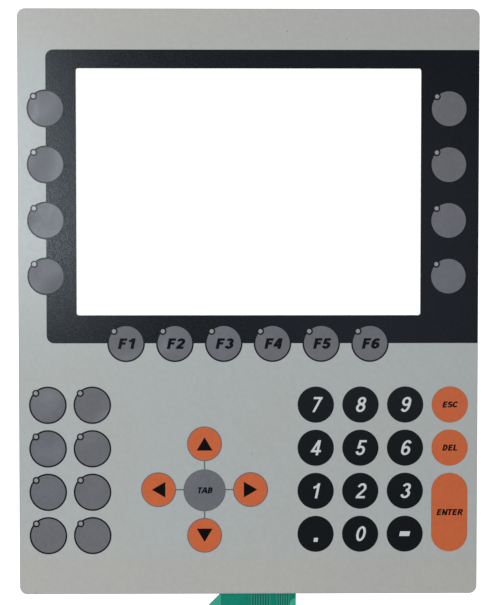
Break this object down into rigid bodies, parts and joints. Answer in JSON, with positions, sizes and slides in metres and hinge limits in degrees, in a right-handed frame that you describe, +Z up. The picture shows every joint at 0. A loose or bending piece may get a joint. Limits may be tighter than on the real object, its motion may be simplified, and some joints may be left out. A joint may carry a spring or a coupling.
{
  "type": "hmi touch panel",
  "caption": "Flat rectangular operator panel: grey membrane keypad with a dark display surround, a clear touch window, indicator keys, a number block, arrow keys and a flat circuit tail.",
  "frame": {"origin": "centre of the support plate's rear face, which rests on the housing", "axes": "+Z up, +X to the operator's right, the operator faces the panel from -Y, so +Y points into the housing"},
  "size_m": [0.297, 0.0162, 0.4883],
  "materials": {
    "overlay_print": "fine textured polyester, grey print with a near-black display surround",
    "function_key_grey": "textured polyester, grey",
    "key_black": "textured polyester, black",
    "key_orange": "textured polyester, orange",
    "indicator_clear": "clear diffusing window",
    "clear_adhesive": "clear adhesive",
    "spacer_film": "hazy polyester",
    "dome_steel": "stainless snap dome",
    "circuit_green": "polyester film with green dielectric print",
    "light_body": "surface-mounted light",
    "plate_aluminium": "milled, clear anodised",
    "stud_steel": "zinc-plated steel",
    "gasket_foam": "closed-cell foam",
    "touch_clear_film": "clear coated film",
    "touch_glass": "clear glass",
    "touch_tail_amber": "amber polyimide film",
    "stiffener_film": "white polyester",
    "contact_carbon": "printed carbon"
  },
  "bodies": {
    "panel": {"graphic_overlay": "overlay_print", "overlay_adhesive": "clear_adhesive", "led_windows": "indicator_clear", "spacer_layer": "spacer_film", "snap_domes": "dome_steel", "circuit_film": "circuit_green", "led_chips": "light_body", "support_adhesive": "clear_adhesive", "support_plate": "plate_aluminium", "mounting_studs": "stud_steel", "touch_gasket": "gasket_foam", "touch_film": "touch_clear_film", "touch_edge_seal": "clear_adhesive", "touch_glass": "touch_glass", "touch_tail": "touch_tail_amber", "circuit_tail": "circuit_green", "tail_stiffener": "stiffener_film", "tail_contacts": "contact_carbon"},
    "left_softkey_1_press": {"left_softkey_1": "function_key_grey"},
    "left_softkey_2_press": {"left_softkey_2": "function_key_grey"},
    "left_softkey_3_press": {"left_softkey_3": "function_key_grey"},
    "left_softkey_4_press": {"left_softkey_4": "function_key_grey"},
    "right_softkey_1_press": {"right_softkey_1": "function_key_grey"},
    "right_softkey_2_press": {"right_softkey_2": "function_key_grey"},
    "right_softkey_3_press": {"right_softkey_3": "function_key_grey"},
    "right_softkey_4_press": {"right_softkey_4": "function_key_grey"},
    "f1_key_press": {"f1_key": "function_key_grey"},
    "f2_key_press": {"f2_key": "function_key_grey"},
    "f3_key_press": {"f3_key": "function_key_grey"},
    "f4_key_press": {"f4_key": "function_key_grey"},
    "f5_key_press": {"f5_key": "function_key_grey"},
    "f6_key_press": {"f6_key": "function_key_grey"},
    "program_key_1_press": {"program_key_1": "function_key_grey"},
    "program_key_2_press": {"program_key_2": "function_key_grey"},
    "program_key_3_press": {"program_key_3": "function_key_grey"},
    "program_key_4_press": {"program_key_4": "function_key_grey"},
    "program_key_5_press": {"program_key_5": "function_key_grey"},
    "program_key_6_press": {"program_key_6": "function_key_grey"},
    "program_key_7_press": {"program_key_7": "function_key_grey"},
    "program_key_8_press": {"program_key_8": "function_key_grey"},
    "digit_7_key_press": {"digit_7_key": "key_black"},
    "digit_8_key_press": {"digit_8_key": "key_black"},
    "digit_9_key_press": {"digit_9_key": "key_black"},
    "digit_4_key_press": {"digit_4_key": "key_black"},
    "digit_5_key_press": {"digit_5_key": "key_black"},
    "digit_6_key_press": {"digit_6_key": "key_black"},
    "digit_1_key_press": {"digit_1_key": "key_black"},
    "digit_2_key_press": {"digit_2_key": "key_black"},
    "digit_3_key_press": {"digit_3_key": "key_black"},
    "digit_0_key_press": {"digit_0_key": "key_black"},
    "point_key_press": {"point_key": "key_black"},
    "minus_key_press": {"minus_key": "key_black"},
    "escape_key_press": {"escape_key": "key_orange"},
    "delete_key_press": {"delete_key": "key_orange"},
    "enter_key_press": {"enter_key": "key_orange"},
    "up_arrow_key_press": {"up_arrow_key": "key_orange"},
    "down_arrow_key_press": {"down_arrow_key": "key_orange"},
    "left_arrow_key_press": {"left_arrow_key": "key_orange"},
    "right_arrow_key_press": {"right_arrow_key": "key_orange"},
    "tab_key_press": {"tab_key": "function_key_grey"}
  },
  "joints": [
    {"name": "left_softkey_1_travel", "type": "slide", "parent": "panel", "child": "left_softkey_1_press", "axis": [0, 1, 0], "range_m": [0, 0.00037], "stiffness_N_per_m": 8000, "deforming": ["snap_domes"]},
    {"name": "left_softkey_2_travel", "type": "slide", "parent": "panel", "child": "left_softkey_2_press", "axis": [0, 1, 0], "range_m": [0, 0.00037], "stiffness_N_per_m": 8000, "deforming": ["snap_domes"]},
    {"name": "left_softkey_3_travel", "type": "slide", "parent": "panel", "child": "left_softkey_3_press", "axis": [0, 1, 0], "range_m": [0, 0.00037], "stiffness_N_per_m": 8000, "deforming": ["snap_domes"]},
    {"name": "left_softkey_4_travel", "type": "slide", "parent": "panel", "child": "left_softkey_4_press", "axis": [0, 1, 0], "range_m": [0, 0.00037], "stiffness_N_per_m": 8000, "deforming": ["snap_domes"]},
    {"name": "right_softkey_1_travel", "type": "slide", "parent": "panel", "child": "right_softkey_1_press", "axis": [0, 1, 0], "range_m": [0, 0.00037], "stiffness_N_per_m": 8000, "deforming": ["snap_domes"]},
    {"name": "right_softkey_2_travel", "type": "slide", "parent": "panel", "child": "right_softkey_2_press", "axis": [0, 1, 0], "range_m": [0, 0.00037], "stiffness_N_per_m": 8000, "deforming": ["snap_domes"]},
    {"name": "right_softkey_3_travel", "type": "slide", "parent": "panel", "child": "right_softkey_3_press", "axis": [0, 1, 0], "range_m": [0, 0.00037], "stiffness_N_per_m": 8000, "deforming": ["snap_domes"]},
    {"name": "right_softkey_4_travel", "type": "slide", "parent": "panel", "child": "right_softkey_4_press", "axis": [0, 1, 0], "range_m": [0, 0.00037], "stiffness_N_per_m": 8000, "deforming": ["snap_domes"]},
    {"name": "f1_key_travel", "type": "slide", "parent": "panel", "child": "f1_key_press", "axis": [0, 1, 0], "range_m": [0, 0.00037], "stiffness_N_per_m": 8000, "deforming": ["snap_domes"]},
    {"name": "f2_key_travel", "type": "slide", "parent": "panel", "child": "f2_key_press", "axis": [0, 1, 0], "range_m": [0, 0.00037], "stiffness_N_per_m": 8000, "deforming": ["snap_domes"]},
    {"name": "f3_key_travel", "type": "slide", "parent": "panel", "child": "f3_key_press", "axis": [0, 1, 0], "range_m": [0, 0.00037], "stiffness_N_per_m": 8000, "deforming": ["snap_domes"]},
    {"name": "f4_key_travel", "type": "slide", "parent": "panel", "child": "f4_key_press", "axis": [0, 1, 0], "range_m": [0, 0.00037], "stiffness_N_per_m": 8000, "deforming": ["snap_domes"]},
    {"name": "f5_key_travel", "type": "slide", "parent": "panel", "child": "f5_key_press", "axis": [0, 1, 0], "range_m": [0, 0.00037], "stiffness_N_per_m": 8000, "deforming": ["snap_domes"]},
    {"name": "f6_key_travel", "type": "slide", "parent": "panel", "child": "f6_key_press", "axis": [0, 1, 0], "range_m": [0, 0.00037], "stiffness_N_per_m": 8000, "deforming": ["snap_domes"]},
    {"name": "program_key_1_travel", "type": "slide", "parent": "panel", "child": "program_key_1_press", "axis": [0, 1, 0], "range_m": [0, 0.00037], "stiffness_N_per_m": 8000, "deforming": ["snap_domes"]},
    {"name": "program_key_2_travel", "type": "slide", "parent": "panel", "child": "program_key_2_press", "axis": [0, 1, 0], "range_m": [0, 0.00037], "stiffness_N_per_m": 8000, "deforming": ["snap_domes"]},
    {"name": "program_key_3_travel", "type": "slide", "parent": "panel", "child": "program_key_3_press", "axis": [0, 1, 0], "range_m": [0, 0.00037], "stiffness_N_per_m": 8000, "deforming": ["snap_domes"]},
    {"name": "program_key_4_travel", "type": "slide", "parent": "panel", "child": "program_key_4_press", "axis": [0, 1, 0], "range_m": [0, 0.00037], "stiffness_N_per_m": 8000, "deforming": ["snap_domes"]},
    {"name": "program_key_5_travel", "type": "slide", "parent": "panel", "child": "program_key_5_press", "axis": [0, 1, 0], "range_m": [0, 0.00037], "stiffness_N_per_m": 8000, "deforming": ["snap_domes"]},
    {"name": "program_key_6_travel", "type": "slide", "parent": "panel", "child": "program_key_6_press", "axis": [0, 1, 0], "range_m": [0, 0.00037], "stiffness_N_per_m": 8000, "deforming": ["snap_domes"]},
    {"name": "program_key_7_travel", "type": "slide", "parent": "panel", "child": "program_key_7_press", "axis": [0, 1, 0], "range_m": [0, 0.00037], "stiffness_N_per_m": 8000, "deforming": ["snap_domes"]},
    {"name": "program_key_8_travel", "type": "slide", "parent": "panel", "child": "program_key_8_press", "axis": [0, 1, 0], "range_m": [0, 0.00037], "stiffness_N_per_m": 8000, "deforming": ["snap_domes"]},
    {"name": "digit_7_key_travel", "type": "slide", "parent": "panel", "child": "digit_7_key_press", "axis": [0, 1, 0], "range_m": [0, 0.00037], "stiffness_N_per_m": 8000, "deforming": ["snap_domes"]},
    {"name": "digit_8_key_travel", "type": "slide", "parent": "panel", "child": "digit_8_key_press", "axis": [0, 1, 0], "range_m": [0, 0.00037], "stiffness_N_per_m": 8000, "deforming": ["snap_domes"]},
    {"name": "digit_9_key_travel", "type": "slide", "parent": "panel", "child": "digit_9_key_press", "axis": [0, 1, 0], "range_m": [0, 0.00037], "stiffness_N_per_m": 8000, "deforming": ["snap_domes"]},
    {"name": "digit_4_key_travel", "type": "slide", "parent": "panel", "child": "digit_4_key_press", "axis": [0, 1, 0], "range_m": [0, 0.00037], "stiffness_N_per_m": 8000, "deforming": ["snap_domes"]},
    {"name": "digit_5_key_travel", "type": "slide", "parent": "panel", "child": "digit_5_key_press", "axis": [0, 1, 0], "range_m": [0, 0.00037], "stiffness_N_per_m": 8000, "deforming": ["snap_domes"]},
    {"name": "digit_6_key_travel", "type": "slide", "parent": "panel", "child": "digit_6_key_press", "axis": [0, 1, 0], "range_m": [0, 0.00037], "stiffness_N_per_m": 8000, "deforming": ["snap_domes"]},
    {"name": "digit_1_key_travel", "type": "slide", "parent": "panel", "child": "digit_1_key_press", "axis": [0, 1, 0], "range_m": [0, 0.00037], "stiffness_N_per_m": 8000, "deforming": ["snap_domes"]},
    {"name": "digit_2_key_travel", "type": "slide", "parent": "panel", "child": "digit_2_key_press", "axis": [0, 1, 0], "range_m": [0, 0.00037], "stiffness_N_per_m": 8000, "deforming": ["snap_domes"]},
    {"name": "digit_3_key_travel", "type": "slide", "parent": "panel", "child": "digit_3_key_press", "axis": [0, 1, 0], "range_m": [0, 0.00037], "stiffness_N_per_m": 8000, "deforming": ["snap_domes"]},
    {"name": "digit_0_key_travel", "type": "slide", "parent": "panel", "child": "digit_0_key_press", "axis": [0, 1, 0], "range_m": [0, 0.00037], "stiffness_N_per_m": 8000, "deforming": ["snap_domes"]},
    {"name": "point_key_travel", "type": "slide", "parent": "panel", "child": "point_key_press", "axis": [0, 1, 0], "range_m": [0, 0.00037], "stiffness_N_per_m": 8000, "deforming": ["snap_domes"]},
    {"name": "minus_key_travel", "type": "slide", "parent": "panel", "child": "minus_key_press", "axis": [0, 1, 0], "range_m": [0, 0.00037], "stiffness_N_per_m": 8000, "deforming": ["snap_domes"]},
    {"name": "escape_key_travel", "type": "slide", "parent": "panel", "child": "escape_key_press", "axis": [0, 1, 0], "range_m": [0, 0.00037], "stiffness_N_per_m": 8000, "deforming": ["snap_domes"]},
    {"name": "delete_key_travel", "type": "slide", "parent": "panel", "child": "delete_key_press", "axis": [0, 1, 0], "range_m": [0, 0.00037], "stiffness_N_per_m": 8000, "deforming": ["snap_domes"]},
    {"name": "enter_key_travel", "type": "slide", "parent": "panel", "child": "enter_key_press", "axis": [0, 1, 0], "range_m": [0, 0.00037], "stiffness_N_per_m": 8000, "deforming": ["snap_domes"]},
    {"name": "up_arrow_key_travel", "type": "slide", "parent": "panel", "child": "up_arrow_key_press", "axis": [0, 1, 0], "range_m": [0, 0.00037], "stiffness_N_per_m": 8000, "deforming": ["snap_domes"]},
    {"name": "down_arrow_key_travel", "type": "slide", "parent": "panel", "child": "down_arrow_key_press", "axis": [0, 1, 0], "range_m": [0, 0.00037], "stiffness_N_per_m": 8000, "deforming": ["snap_domes"]},
    {"name": "left_arrow_key_travel", "type": "slide", "parent": "panel", "child": "left_arrow_key_press", "axis": [0, 1, 0], "range_m": [0, 0.00037], "stiffness_N_per_m": 8000, "deforming": ["snap_domes"]},
    {"name": "right_arrow_key_travel", "type": "slide", "parent": "panel", "child": "right_arrow_key_press", "axis": [0, 1, 0], "range_m": [0, 0.00037], "stiffness_N_per_m": 8000, "deforming": ["snap_domes"]},
    {"name": "tab_key_travel", "type": "slide", "parent": "panel", "child": "tab_key_press", "axis": [0, 1, 0], "range_m": [0, 0.00037], "stiffness_N_per_m": 8000, "deforming": ["snap_domes"]}
  ]
}
